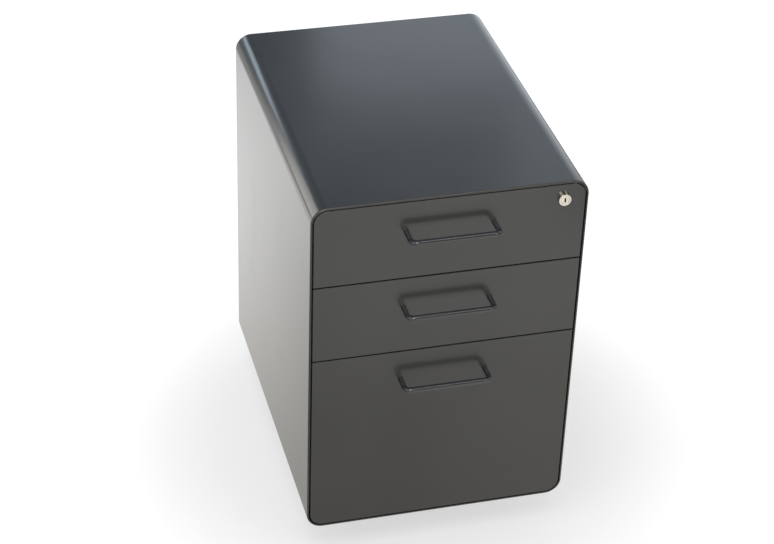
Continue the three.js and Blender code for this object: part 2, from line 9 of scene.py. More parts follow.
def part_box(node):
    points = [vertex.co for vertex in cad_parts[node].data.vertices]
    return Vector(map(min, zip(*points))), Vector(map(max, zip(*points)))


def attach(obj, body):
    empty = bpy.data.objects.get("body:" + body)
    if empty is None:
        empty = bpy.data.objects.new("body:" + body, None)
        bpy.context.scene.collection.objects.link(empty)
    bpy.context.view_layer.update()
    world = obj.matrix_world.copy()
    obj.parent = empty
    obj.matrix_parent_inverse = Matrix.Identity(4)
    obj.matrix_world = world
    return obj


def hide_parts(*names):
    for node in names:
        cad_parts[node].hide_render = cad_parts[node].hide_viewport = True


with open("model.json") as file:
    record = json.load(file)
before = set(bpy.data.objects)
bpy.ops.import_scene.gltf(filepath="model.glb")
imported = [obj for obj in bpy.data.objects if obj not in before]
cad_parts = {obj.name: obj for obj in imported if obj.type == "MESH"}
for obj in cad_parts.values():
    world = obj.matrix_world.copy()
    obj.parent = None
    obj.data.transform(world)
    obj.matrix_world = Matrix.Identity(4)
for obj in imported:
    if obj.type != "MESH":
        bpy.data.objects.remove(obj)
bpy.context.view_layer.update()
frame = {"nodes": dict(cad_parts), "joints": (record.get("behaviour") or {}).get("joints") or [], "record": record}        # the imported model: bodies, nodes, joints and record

# A mobile pedestal of coated sheet steel. Metres, +Z up, and the drawers face -Y.
mm = 0.001
nodes = frame["nodes"]
jointPlace = {joint["child"]: Vector(joint["pos_m"]) for joint in frame["joints"] if joint.get("pos_m")}
bodyOfNode = {}
for body, members in frame["record"]["behaviour"]["bodies"].items():
    for member in members:
        bodyOfNode[member] = body

shellLow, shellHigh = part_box("outer_shell")
frontPlane = shellLow.y
drawerNames = ["top", "middle", "file"]
print("frame loaded:", len(nodes), "nodes")


# Node trees. A Wire is one output socket, and sums on it add Math nodes.
class Wire:
    def __init__(self, tree, socket):
        self.tree = tree
        self.socket = socket

    def sum(self, operation, first, second):
        return self.tree.add("Math", {"operation": operation}, {0: first, 1: second})

    def sine(self):
        return self.tree.add("Math", {"operation": "SINE"}, {0: self})

    def __add__(self, other):
        return self.sum("ADD", self, other)

    def __radd__(self, other):
        return self.sum("ADD", other, self)

    def __sub__(self, other):
        return self.sum("SUBTRACT", self, other)

    def __rsub__(self, other):
        return self.sum("SUBTRACT", other, self)

    def __mul__(self, other):
        return self.sum("MULTIPLY", self, other)


class Nodes:
    def __init__(self, owner):
        owner.use_nodes = True
        self.owner = owner
        self.tree = owner.node_tree
        self.tree.nodes.clear()

    # settings are set first, then the values or links of the sockets
    def add(self, kind, settings=None, sockets=None, output=0):
        node = self.tree.nodes.new("ShaderNode" + kind)
        for name, value in (settings or {}).items():
            setattr(node, name, value)
        for key, value in (sockets or {}).items():
            if isinstance(value, Wire):
                self.tree.links.new(value.socket, node.inputs[key])
            else:
                node.inputs[key].default_value = value
        return Wire(self, node.outputs[output]) if len(node.outputs) else None

    def place(self, centre=(0, 0, 0), stretch=(1, 1, 1)):
        spot = self.add("TexCoord", output="Object")
        moved = tuple(-c * s for c, s in zip(centre, stretch))
        return self.add("Mapping", {}, {"Vector": spot, "Location": moved, "Scale": stretch})

    def noise(self, place, scale, detail=2.0):
        return self.add("TexNoise", {}, {"Vector": place, "Scale": scale, "Detail": detail})

    def between(self, value, low, high, start=0.0, end=1.0):
        sockets = {0: value, 1: low, 2: high, 3: start, 4: end}
        return self.add("MapRange", {"interpolation_type": "SMOOTHSTEP"}, sockets)

    def mix(self, share, first, second):
        return self.add("Mix", {"data_type": "RGBA"}, {0: share, 6: first, 7: second}, output=2)

    def length(self, vector):
        return self.add("VectorMath", {"operation": "LENGTH"}, {0: vector}, output=1)

    def dot(self, first, second):
        return self.add("VectorMath", {"operation": "DOT_PRODUCT"}, {0: first, 1: second}, output=1)

    def bump(self, height, depth, under=None):
        sockets = {"Height": height, "Distance": depth}
        if under:
            sockets["Normal"] = under
        return self.add("Bump", {}, sockets)

    def surface(self, sockets):
        shader = self.add("BsdfPrincipled", {}, sockets)
        self.add("OutputMaterial", {}, {"Surface": shader})
        return self.owner


def shade(grey):
    return (grey, grey, grey, 1)


# Finishes. Scales are in cells to the metre, and a span is where a noise goes from none to all.
coatLook = {
    "colour": (0.0365, 0.0365, 0.0340, 1),
    "lighter": 1.10,
    "darker": 0.93,
    "roughness": 0.30,
    "smudged": 0.015,
    "coat": 0.5,
    "coatRoughness": 0.16,
    "cloudScale": 5,
    "cloudSpan": (0.35, 0.65),
    "smudgeScale": 11,
    "smudgeSpan": (0.55, 0.72),
    "peelScale": 900,
    "peelDepth": 0.004 * mm,
    "waveScale": 9,
    "waveDepth": 0.015 * mm,
    "speckScale": 24,
    "speckSize": (0.016, 0.026),
    "speckShare": (0.55, 0.57),  # the cells above this have a speck
    "speckCover": 0.6,
    "speckTone": 0.012,
    "speckRoughness": 0.2,
    "speckDepth": 0.03 * mm,
}


def coatMaterial(name, change=None):
    look = {**coatLook, **(change or {})}
    tree = Nodes(bpy.data.materials.new(name))
    place = tree.place()
    red, green, blue, _ = look["colour"]
    tones = [(red * k, green * k, blue * k, 1) for k in (look["darker"], look["lighter"])]
    cloud = tree.between(tree.noise(place, look["cloudScale"], detail=3), *look["cloudSpan"])
    smudge = tree.between(tree.noise(place, look["smudgeScale"], detail=4), *look["smudgeSpan"])
    speckSockets = {"Vector": place, "Scale": look["speckScale"]}
    inSpeck = 1 - tree.between(tree.add("TexVoronoi", {}, speckSockets), *look["speckSize"])
    pick = tree.add("TexVoronoi", {}, speckSockets, output=1) * 1.0
    speck = inSpeck * tree.between(pick, *look["speckShare"])
    colour = tree.mix(cloud, *tones)
    colour = tree.mix(speck * look["speckCover"], colour, shade(look["speckTone"]))
    peel = tree.noise(place, look["peelScale"], detail=1)
    relief = tree.bump(tree.noise(place, look["waveScale"], detail=1), look["waveDepth"])
    relief = tree.bump(1 - speck, look["speckDepth"], relief)
    return tree.surface({
        "Base Color": colour,
        "Roughness": look["roughness"] + smudge * look["smudged"] + speck * look["speckRoughness"],
        "Coat Weight": look["coat"],
        "Coat Roughness": look["coatRoughness"],
        "Normal": tree.bump(peel, look["peelDepth"], relief),
    })


metalLook = {
    "zinc": {
        "colours": [(0.55, 0.56, 0.57, 1), (0.63, 0.64, 0.65, 1)],
        "roughness": (0.28, 0.36),
        "patchScale": 160,
        "grainScale": 2200,
        "grainDepth": 0.003 * mm,
    },
    "iron": {
        "colours": [(0.022, 0.022, 0.021, 1), (0.046, 0.045, 0.043, 1)],
        "roughness": (0.6, 0.85),
        "patchScale": 40,
        "grainScale": 420,
        "grainDepth": 0.25 * mm,
    },
    "nylon": {
        "colours": [(0.0105, 0.0105, 0.0110, 1), (0.0145, 0.0145, 0.0150, 1)],
        "roughness": (0.42, 0.55),
        "patchScale": 60,
        "grainScale": 1500,
        "grainDepth": 0.006 * mm,
    },
}
patchSpan = (0.3, 0.7)
cellShare = 0.4  # of the flat cells in the patches


def stockMaterial(name, kind, metallic):
    look = metalLook[kind]
    tree = Nodes(bpy.data.materials.new(name))
    place = tree.place()
    patch = tree.noise(place, look["patchScale"], detail=3)
    cells = tree.add("TexVoronoi", {}, {"Vector": place, "Scale": look["patchScale"]}, output=1) * 1.0
    mixed = patch * (1 - cellShare) + cells * cellShare
    grain = tree.noise(place, look["grainScale"])
    return tree.surface({
        "Base Color": tree.mix(tree.between(mixed, *patchSpan), *look["colours"]),
        "Metallic": metallic,
        "Roughness": tree.between(patch, *patchSpan, *look["roughness"]),
        "Normal": tree.bump(grain, look["grainDepth"]),
    })


chromeLook = {
    "colours": [(0.63, 0.58, 0.49, 1), (0.72, 0.67, 0.58, 1)],
    "roughness": (0.10, 0.20),
    "ringsPerMetre": 5200,
    "ringDepth": 0.0012 * mm,
    "cloudScale": 240,
    "bare": 0.02,  # painted shade: the colour is darkened to this down in the keyway
    "keywayRadius": (4.2 * mm, 4.6 * mm),
    "keywayDepth": (0.9 * mm, 1.8 * mm),  # from the lock's face
}


# Nickel plate over turned brass, with the faint rings of the lathe round the lock's axis, and a painted
# shade that darkens the colour down in the keyway.
def chromeMaterial(name, axis, face):
    tree = Nodes(bpy.data.materials.new(name))
    place = tree.place()
    around = tree.length(tree.place(axis, (1, 0, 1)))
    # painted shade: deep in the keyway and inside its radius the colour goes dark
    deep = tree.between(tree.dot(place, (0, 1, 0)) - face, *chromeLook["keywayDepth"])
    keywayShade = deep * tree.between(around, *chromeLook["keywayRadius"], 1.0, 0.0)
    rings = (around * chromeLook["ringsPerMetre"]).sine()
    cloud = tree.between(tree.noise(place, chromeLook["cloudScale"], detail=3), *patchSpan)
    plate = tree.mix(cloud, *chromeLook["colours"])
    return tree.surface({
        "Base Color": tree.mix(keywayShade, plate, shade(chromeLook["bare"])),
        "Metallic": 1.0,
        "Roughness": tree.between(cloud, 0.0, 1.0, *chromeLook["roughness"]),
        "Normal": tree.bump(rings, chromeLook["ringDepth"]),
    })


lockLow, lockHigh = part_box("lock_housing")
lockAxis = (lockLow + lockHigh) / 2
coat = coatMaterial("satin powder coat")
trayCoat = coatMaterial("tray coat", {
    "colour": (0.033, 0.034, 0.033, 1),
    "roughness": 0.42,
    "coat": 0.15,
})
# The pulls get a copy of the coat painted darker and bluer than on the fronts, a painted shade that
# stands in for their shaded, bluish legs.
shadedHandleCoat = coatMaterial("shaded handle coat", {
    "colour": (0.012, 0.016, 0.020, 1),
    "roughness": 0.20,
    "coat": 1.0,
    "coatRoughness": 0.08,
    "speckScale": 40,
    "waveDepth": 0.01 * mm,
})
zinc = stockMaterial("bright zinc plate", "zinc", 1.0)
iron = stockMaterial("cast iron", "iron", 0.2)
nylon = stockMaterial("moulded nylon", "nylon", 0.0)
chrome = chromeMaterial("nickel plate", lockAxis, lockLow.y)
print("finishes made")


# Mesh work
hair = 0.02 * mm  # what still counts as the same place
weld = 0.001 * mm
edgeSteps = 3  # round a small broken edge
squareOnly = 60  # degrees, which leaves the facets of a turned piece out
boreSteps = 48


# A sheet starts as four corners facing -Y, each rounded to its own radius.
def roundedSheet(bm, low, high, y, radii, steps):
    spots = [(low.x, low.z), (high.x, low.z), (high.x, high.z), (low.x, high.z)]
    corners = [bm.verts.new((x, y, z)) for x, z in spots]
    face = bm.faces.new(corners)
    for corner, radius in zip(corners, radii):
        bmesh.ops.bevel(bm, geom=[corner], offset=radius, offset_type="OFFSET", segments=steps,
                        profile=0.5, affect="VERTICES", material=-1)
    return bm.faces[:][0]


def pull(bm, faces, step):
    made = bmesh.ops.extrude_face_region(bm, geom=faces)["geom"]
    bmesh.ops.translate(bm, vec=step, verts=[v for v in made if isinstance(v, bmesh.types.BMVert)])
    return [f for f in made if isinstance(f, bmesh.types.BMFace)]


def pullEdges(bm, edges, step):
    made = bmesh.ops.extrude_edge_only(bm, edges=edges)["geom"]
    verts = [v for v in made if isinstance(v, bmesh.types.BMVert)]
    bmesh.ops.translate(bm, vec=step, verts=verts)
    return [e for e in made if isinstance(e, bmesh.types.BMEdge) and all(v in verts for v in e.verts)]


def drop(bm, faces):
    bmesh.ops.delete(bm, geom=faces, context="FACES")


def pointOut(bm):
    bmesh.ops.recalc_face_normals(bm, faces=bm.faces)
    bm.normal_update()


def facesWhere(bm, test):
    bm.normal_update()
    return [f for f in bm.faces if test(f.calc_center_median(), f.normal)]


def bendsWhere(bm, test, angle=30):
    bm.normal_update()
    return [e for e in bm.edges if len(e.link_faces) == 2 and e.calc_face_angle() > radians(angle)
            and all(test(v.co) for v in e.verts)]


def roundOff(bm, edges, radius, steps):
    bmesh.ops.bevel(bm, geom=edges, offset=radius, offset_type="OFFSET", segments=steps,
                    profile=0.5, affect="EDGES", material=-1)


def near(value, target):
    return abs(value - target) < hair


# Turned round +Z from (radius, height) points, then put in place.
def turned(bm, profile, steps, toPlace):
    start = [bm.verts.new((radius, 0, height)) for radius, height in profile]
    line = [bm.edges.new(pair) for pair in zip(start, start[1:])]
    before = set(bm.verts) - set(start)
    bmesh.ops.spin(bm, geom=start + line, cent=(0, 0, 0), axis=(0, 0, 1), angle=2 * pi,
                   steps=steps, use_merge=True)
    made = [v for v in bm.verts if v not in before]
    bmesh.ops.transform(bm, matrix=toPlace, verts=made)
    bmesh.ops.remove_doubles(bm, verts=made, dist=weld)


alongY = Matrix.Rotation(radians(-90), 4, "X")
alongX = Matrix.Rotation(radians(90), 4, "Y")


def block(bm, low, high):
    size = Vector(high) - Vector(low)
    middle = (Vector(high) + Vector(low)) / 2
    matrix = Matrix.Translation(middle) @ Matrix.Diagonal((*size, 1))
    bmesh.ops.create_cube(bm, size=1, matrix=matrix)


def toObject(bm, name):
    bmesh.ops.remove_doubles(bm, verts=bm.verts, dist=weld)
    mesh = bpy.data.meshes.new(name)
    bm.to_mesh(mesh)
    bm.free()
    made = bpy.data.objects.new(name, mesh)
    bpy.context.scene.collection.objects.link(made)
    return made


def cutterRod(radius, low, high, toPlace):
    bm = bmesh.new()
    turned(bm, [(0, low), (radius, low), (radius, high), (0, high)], boreSteps, toPlace)
    pointOut(bm)
    return toObject(bm, "cutter")


def applyModifiers(piece):
    graph = bpy.context.evaluated_depsgraph_get()
    old = piece.data
    made = bpy.data.meshes.new_from_object(piece.evaluated_get(graph))
    piece.modifiers.clear()
    piece.data = made
    bpy.data.meshes.remove(old)


def softenShading(piece, angle=35):
    piece.data.shade_smooth()
    piece.data.set_sharp_from_angle(angle=radians(angle))
    weights = piece.modifiers.new("weighted normals", "WEIGHTED_NORMAL")
    weights.keep_sharp = True


# The piece rides on the node's body, and stands for the node unless it only adds to another piece.
def finishPiece(bm, name, look, node, wall=0, cutters=(), standsFor=True):
    piece = toObject(bm, name)
    if wall:
        solid = piece.modifiers.new("wall", "SOLIDIFY")
        solid.thickness = wall
        solid.offset = -1
        solid.use_even_offset = True
    for cutter in cutters:
        cut = piece.modifiers.new("cut", "BOOLEAN")
        cut.operation = "DIFFERENCE"
        cut.solver = "EXACT"
        cut.object = cutter
    if wall or cutters:
        applyModifiers(piece)
    for cutter in cutters:
        bpy.data.objects.remove(cutter)
    piece.data.materials.clear()
    piece.data.materials.append(look)
    softenShading(piece)
    if standsFor:
        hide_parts(node)
    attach(piece, bodyOfNode[node])


# What a CAD node that keeps its shape gets: merged corners, whole flats and broken edges
dressing = {
    "merge": 0.002 * mm,
    "flatAngle": 2,
    "edgeAngle": 40,
    "edgeSteps": 2,
    "base_pan": 0.5 * mm,
    "counterweight": 1.5 * mm,
    "upright": 0.4 * mm,
    "lock": 0.25 * mm,
}


def dressNode(node, look, edge):
    piece = nodes[node]
    joined = piece.modifiers.new("weld", "WELD")
    joined.merge_threshold = dressing["merge"]
    flats = piece.modifiers.new("flats", "DECIMATE")
    flats.decimate_type = "DISSOLVE"
    flats.angle_limit = radians(dressing["flatAngle"])
    corner = piece.modifiers.new("broken edges", "BEVEL")
    corner.width = edge
    corner.segments = dressing["edgeSteps"]
    corner.limit_method = "ANGLE"
    corner.angle_limit = radians(dressing["edgeAngle"])
    if piece.material_slots:
        piece.material_slots[0].material = look
    else:
        piece.data.materials.append(look)


# Outer shell, one wrapped sheet folded back round the drawers
shellSizes = {
    "cornerRadius": 24.4 * mm,
    "cornerSteps": 24,
    "sheet": 0.7 * mm,
    "rim": 2.8 * mm,
    "rimTop": 3.5 * mm,  # above the top front
    "rimDepth": 14 * mm,
    "outerBend": 2.0 * mm,  # together with the inner bend it stays under the rim
    "innerBend": 0.7 * mm,
    "bendSteps": 5,
}


def makeShell(sizes):
    bm = bmesh.new()
    radii = [sizes["cornerRadius"]] * 4
    mouth = roundedSheet(bm, shellLow, shellHigh, frontPlane, radii, sizes["cornerSteps"])
    rear = pull(bm, [mouth], (0, shellHigh.y - frontPlane, 0))
    pointOut(bm)
    drop(bm, rear)
    bmesh.ops.inset_region(bm, faces=[mouth], thickness=sizes["rim"],
                           use_even_offset=True, use_boundary=True)
    middle = mouth.calc_center_median()
    for vert in mouth.verts:
        if vert.co.z > middle.z:
            vert.co.z -= sizes["rimTop"] - sizes["rim"]
    returns = pull(bm, [mouth], (0, sizes["rimDepth"], 0))
    drop(bm, returns + [mouth])
    rimEdges = bendsWhere(bm, lambda spot: near(spot.y, frontPlane))
    behindRim = frontPlane + sizes["rimDepth"]
    inner = [e for e in rimEdges if all(f.calc_center_median().y < behindRim for f in e.link_faces)]
    roundOff(bm, inner, sizes["innerBend"], sizes["bendSteps"])
    outer = bendsWhere(bm, lambda spot: near(spot.y, frontPlane))
    roundOff(bm, outer, sizes["outerBend"], sizes["bendSteps"])
    finishPiece(bm, "shell_sheet", coat, "outer_shell", sizes["sheet"])


backSizes = {"inset": 1.5 * mm, "sheet": 1 * mm, "bend": 1.6 * mm, "bendSteps": 5}


def makeBack(sizes):
    low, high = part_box("back_panel")
    bm = bmesh.new()
    radii = [shellSizes["cornerRadius"] - sizes["inset"]] * 4
    face = roundedSheet(bm, low, high, high.y, radii, shellSizes["cornerSteps"])
    front = pull(bm, [face], (0, low.y - high.y, 0))
    pointOut(bm)
    drop(bm, front)
    roundOff(bm, bendsWhere(bm, lambda spot: near(spot.y, high.y)), sizes["bend"], sizes["bendSteps"])
    finishPiece(bm, "back_sheet", coat, "back_panel", sizes["sheet"])


makeShell(shellSizes)
makeBack(backSizes)
dressNode("base_pan", zinc, dressing["base_pan"])
dressNode("counterweight", iron, dressing["counterweight"])
for side in ["left", "right"]:
    dressNode("upright_front_" + side, zinc, dressing["upright"])
    dressNode("upright_rear_" + side, zinc, dressing["upright"])
print("cabinet made")

# Drawer fronts, folded pans with a return at the foot
frontSizes = {
    "outerRadius": 19.6 * mm,
    "innerRadius": 1.2 * mm,
    "cornerSteps": 20,
    "sheet": 0.7 * mm,
    "bend": 0.8 * mm,
    "bendSteps": 4,
    "lip": 22 * mm,
    "screwHole": 2 * mm,
    "lockBore": 7.8 * mm,
    "boreReach": 3 * mm,
}


def makeFront(drawer, sizes):
    node = drawer + "_front"
    low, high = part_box(node)
    below = sizes["outerRadius"] if drawer == drawerNames[-1] else sizes["innerRadius"]
    above = sizes["outerRadius"] if drawer == drawerNames[0] else sizes["innerRadius"]
    bm = bmesh.new()
    face = roundedSheet(bm, low, high, low.y, [below, below, above, above], sizes["cornerSteps"])
    rear = pull(bm, [face], (0, high.y - low.y, 0))
    pointOut(bm)
    lipTop = low.z + sizes["lip"]
    cut = rear + list(rear[0].edges) + list(rear[0].verts)
    bmesh.ops.bisect_plane(bm, geom=cut, plane_co=(0, 0, lipTop), plane_no=(0, 0, 1), dist=weld)
    drop(bm, facesWhere(bm, lambda middle, normal: normal.y > 0.9 and middle.z > lipTop))
    foot = low.z + above + below
    bends = bendsWhere(bm, lambda spot: near(spot.y, low.y) or (near(spot.y, high.y) and spot.z < foot))
    roundOff(bm, bends, sizes["bend"], sizes["bendSteps"])
    handleLow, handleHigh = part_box(drawer + "_handle")
    handleZ = (handleLow.z + handleHigh.z) / 2
    span = (handleHigh.x - handleLow.x) / 2 - handleSizes["rod"]
    holes = [(-span, handleZ, sizes["screwHole"]), (span, handleZ, sizes["screwHole"])]
    if drawer == drawerNames[0]:
        holes.append((lockAxis.x, lockAxis.z, sizes["lockBore"]))
    reach = sizes["boreReach"]
    cutters = [cutterRod(radius, -reach, reach, Matrix.Translation((x, low.y, z)) @ alongY)
               for x, z, radius in holes]
    finishPiece(bm, drawer + "_front_sheet", coat, node, sizes["sheet"], cutters)


handleSizes = {
    "rod": 4 * mm,  # radius
    "bend": 9 * mm,
    "sides": 40,
    "bendSteps": 12,
    "footEdge": 0.4 * mm,
    "seat": 0.02 * mm,  # clear of the front
}


# One bent rod: a foot, a leg, a quarter turn, the bar and the same again.
def makeHandle(drawer, sizes):
    node = drawer + "_handle"
    low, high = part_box(node)
    rod = sizes["rod"]
    bend = sizes["bend"]
    foot = frontPlane - sizes["seat"]
    half = (high.x - low.x) / 2 - rod
    barY = low.y + rod
    z = (low.z + high.z) / 2
    legTop = barY + bend
    bm = bmesh.new()
    start = Matrix.Translation((-half, foot, z)) @ Matrix.Rotation(radians(90), 4, "X")
    bmesh.ops.create_circle(bm, segments=sizes["sides"], radius=rod, matrix=start)
    end = pullEdges(bm, bm.edges[:], (0, legTop - foot, 0))
    along = 2 * (half - bend)
    for centreX, step in [(-half + bend, (along, 0, 0)), (half - bend, (0, foot - legTop, 0))]:
        ring = end + list({v for e in end for v in e.verts})
        turn = bmesh.ops.spin(bm, geom=ring, cent=(centreX, legTop, z), axis=(0, 0, 1),
                              angle=radians(90), steps=sizes["bendSteps"])["geom_last"]
        end = pullEdges(bm, [e for e in turn if isinstance(e, bmesh.types.BMEdge)], step)
    bmesh.ops.remove_doubles(bm, verts=bm.verts, dist=weld)
    bmesh.ops.holes_fill(bm, edges=[e for e in bm.edges if e.is_boundary], sides=sizes["sides"])
    pointOut(bm)
    footEdges = bendsWhere(bm, lambda spot: near(spot.y, foot), squareOnly)
    roundOff(bm, footEdges, sizes["footEdge"], edgeSteps)
    finishPiece(bm, drawer + "_pull", shadedHandleCoat, node)


screwSizes = {
    "shank": 1.7 * mm,
    "head": 4 * mm,
    "headHeight": 2.6 * mm,
    "headEdge": 1.1 * mm,
    "headSteps": 4,
    "steps": 32,
    "slot": 0.9 * mm,
    "slotDepth": 1.3 * mm,
    "slotReach": 0.6,  # of the head's radius
}


# Pan head with a cross recess
def makeScrew(node, sizes):
    low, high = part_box(node)
    middle = (low + high) / 2
    seat = high.y - sizes["headHeight"]
    bm = bmesh.new()
    profile = [
        (0, low.y),
        (sizes["shank"], low.y),
        (sizes["shank"], seat),
        (sizes["head"], seat),
        (sizes["head"], high.y),
        (0, high.y),
    ]
    turned(bm, profile, sizes["steps"], Matrix.Translation((middle.x, 0, middle.z)) @ alongY)
    pointOut(bm)
    top = bendsWhere(bm, lambda spot: near(spot.y, high.y), squareOnly)
    roundOff(bm, top, sizes["headEdge"], sizes["headSteps"])
    reach = sizes["head"] * sizes["slotReach"]
    slot = sizes["slot"] / 2
    deep = high.y - sizes["slotDepth"]
    cutters = []
    for x, z in [(reach, slot), (slot, reach)]:
        bar = bmesh.new()
        block(bar, (middle.x - x, deep, middle.z - z), (middle.x + x, high.y + mm, middle.z + z))
        cutters.append(toObject(bar, "cutter"))
    finishPiece(bm, node + "_pan_head", zinc, node, 0, cutters)


for drawer in drawerNames:
    makeFront(drawer, frontSizes)
    makeHandle(drawer, handleSizes)
    for side in ["left", "right"]:
        makeScrew(drawer + "_handle_screw_" + side, screwSizes)
print("fronts and handles made")

# Lock
lockSizes = {
    "steps": 96,
    "faceEdge": 0.7 * mm,
    "faceSteps": 6,
    "boreEdge": 0.15 * mm,
    "plug": 6 * mm,
    "plugGap": 0.15 * mm,
    "barrel": 7.5 * mm,
    "face": 9.25 * mm,
    "seat": 0.05 * mm,  # clear of the front
    "plugRecess": 0.4 * mm,
    "spigot": 3 * mm,
    "keyway": (2.4 * mm, 9 * mm, 7 * mm),  # wide, deep, tall
    "keywayEdge": 0.5 * mm,
}


def makeLock(sizes):
    toPlace = Matrix.Translation((lockAxis.x, 0, lockAxis.z)) @ alongY
    face = lockLow.y
    rear = lockHigh.y
    seat = frontPlane - sizes["seat"]
    bore = sizes["plug"] + sizes["plugGap"]
    bm = bmesh.new()
    profile = [
        (bore, face),
        (sizes["face"], face),
        (sizes["face"], seat),
        (sizes["barrel"], seat),
        (sizes["barrel"], rear),
        (bore, rear),
        (bore, face),
    ]
    turned(bm, profile, sizes["steps"], toPlace)
    pointOut(bm)

    centre = Vector((lockAxis.x, face, lockAxis.z))

    def atFace(radius):
        return lambda spot: near(spot.y, face) and near((spot - centre).length, radius)

    roundOff(bm, bendsWhere(bm, atFace(sizes["face"])), sizes["faceEdge"], sizes["faceSteps"])
    roundOff(bm, bendsWhere(bm, atFace(bore)), sizes["boreEdge"], edgeSteps)
    finishPiece(bm, "lock_case", chrome, "lock_housing")

    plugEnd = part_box("lock_plug")[1].y
    front = face + sizes["plugRecess"]
    bm = bmesh.new()
    profile = [
        (0, front),
        (sizes["plug"], front),
        (sizes["plug"], rear),
        (sizes["spigot"], rear),
        (sizes["spigot"], plugEnd),
        (0, plugEnd),
    ]
    turned(bm, profile, sizes["steps"], toPlace)
    pointOut(bm)
    plugEdges = bendsWhere(bm, lambda spot: near(spot.y, front), squareOnly)
    roundOff(bm, plugEdges, sizes["boreEdge"], edgeSteps)
    wide, deep, tall = sizes["keyway"]
    key = bmesh.new()
    spot = Vector((lockAxis.x, front, lockAxis.z))
    block(key, spot - Vector((wide / 2, mm, tall / 2)), spot + Vector((wide / 2, deep, tall / 2)))
    upright = [e for e in key.edges if abs((e.verts[0].co - e.verts[1].co).y) > mm]
    roundOff(key, upright, sizes["keywayEdge"], edgeSteps)
    finishPiece(bm, "lock_core", chrome, "lock_plug", 0, [toObject(key, "cutter")])


makeLock(lockSizes)
for node in ["lock_nut", "lock_cam", "lock_bar"]:
    dressNode(node, zinc, dressing["lock"])
print("lock made")

# Trays: a folded box with a hem round its mouth, and folder rails on the file tray
traySizes = {
    "sheet": 1 * mm,
    "hem": 6 * mm,
    "hemLip": 4 * mm,
    "railHem": 13.2 * mm,
    "railLip": 8 * mm,
    "bend": 2.2 * mm,
    "bendSteps": 4,
    "catchFront": 27.5 * mm,  # behind the front plane
    "catchSheet": 3.5 * mm,
    "catchHeight": 7 * mm,
    "catchReach": 8.8 * mm,
    "catchEdge": 0.9 * mm,
    "catchDrop": {"top": 35 * mm, "middle": 35 * mm, "file": 36 * mm},
}


def makeTray(drawer, sizes):
    node = drawer + "_tray"
    low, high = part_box(node)
    half = -low.x
    isFile = drawer == drawerNames[-1]
    top = high.z - sizes["railLip"] if isFile else high.z
    sheet = sizes["sheet"]
    bm = bmesh.new()
    spots = [(-half, low.y), (half, low.y), (half, high.y), (-half, high.y)]
    floor = bm.faces.new([bm.verts.new((x, y, low.z)) for x, y in spots])
    lid = pull(bm, [floor], (0, 0, top - low.z))
    pointOut(bm)
    hem = sizes["hem"] + sheet
    bmesh.ops.inset_region(bm, faces=lid, thickness=hem, use_even_offset=True, use_boundary=True)
    mouthHalf = half - sizes["railHem"] if isFile else half - hem
    for vert in lid[0].verts:
        vert.co.x = mouthHalf if vert.co.x > 0 else -mouthHalf
    mouth = list(lid[0].edges)
    bmesh.ops.delete(bm, geom=lid, context="FACES_ONLY")
    for edge in mouth:
        along = edge.verts[0].co - edge.verts[1].co
        rises = isFile and abs(along.y) > abs(along.x)
        pullEdges(bm, [edge], (0, 0, sizes["railLip"] if rises else -sizes["hemLip"]))

    def onWall(spot):
        return near(abs(spot.x), half) or near(spot.y, low.y) or near(spot.y, high.y)

    roundOff(bm, bendsWhere(bm, onWall), sizes["bend"], sizes["bendSteps"])
    finishPiece(bm, drawer + "_tray_sheet", trayCoat, node, sheet)

    bm = bmesh.new()
    front = frontPlane + sizes["catchFront"]
    foot = top - sizes["catchDrop"][drawer]
    tip = half + sizes["catchReach"]
    far = (tip, front + sizes["catchSheet"], foot + sizes["catchHeight"])
    block(bm, (half - sheet / 2, front, foot), far)
    outer = bendsWhere(bm, lambda spot: near(spot.x, tip))
    roundOff(bm, outer, sizes["catchEdge"], edgeSteps)
    finishPiece(bm, drawer + "_catch", zinc, node, standsFor=False)


for drawer in drawerNames:
    makeTray(drawer, traySizes)
print("trays made")

# Slides: rolled channels, one inside the lips of the next
slideSizes = {"sheet": 1.2 * mm, "bend": 1.9 * mm, "bendSteps": 4}


def makeSlide(node, webOutside, sizes):
    low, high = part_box(node)
    outer, inner = (high.x, low.x) if high.x > 0 else (low.x, high.x)
    web, lips = (outer, inner) if webOutside else (inner, outer)
    bm = bmesh.new()
    spots = [(lips, low.z), (web, low.z), (web, high.z), (lips, high.z)]
    line = [bm.verts.new((x, low.y, z)) for x, z in spots]
    pullEdges(bm, [bm.edges.new(pair) for pair in zip(line, line[1:])], (0, high.y - low.y, 0))
    back = facesWhere(bm, lambda middle, normal: near(middle.x, web))[0]
    if back.normal.x * (web - lips) < 0:
        bmesh.ops.reverse_faces(bm, faces=bm.faces)
    roundOff(bm, bendsWhere(bm, lambda spot: near(spot.x, web)), sizes["bend"], sizes["bendSteps"])
    finishPiece(bm, node + "_channel", zinc, node, sizes["sheet"])


for drawer in drawerNames:
    for side in ["left", "right"]:
        makeSlide(f"{drawer}_slide_cabinet_{side}", True, slideSizes)
        makeSlide(f"{drawer}_slide_drawer_{side}", False, slideSizes)
for side in ["left", "right"]:
    makeSlide("file_slide_middle_" + side, True, slideSizes)
print("slides made")

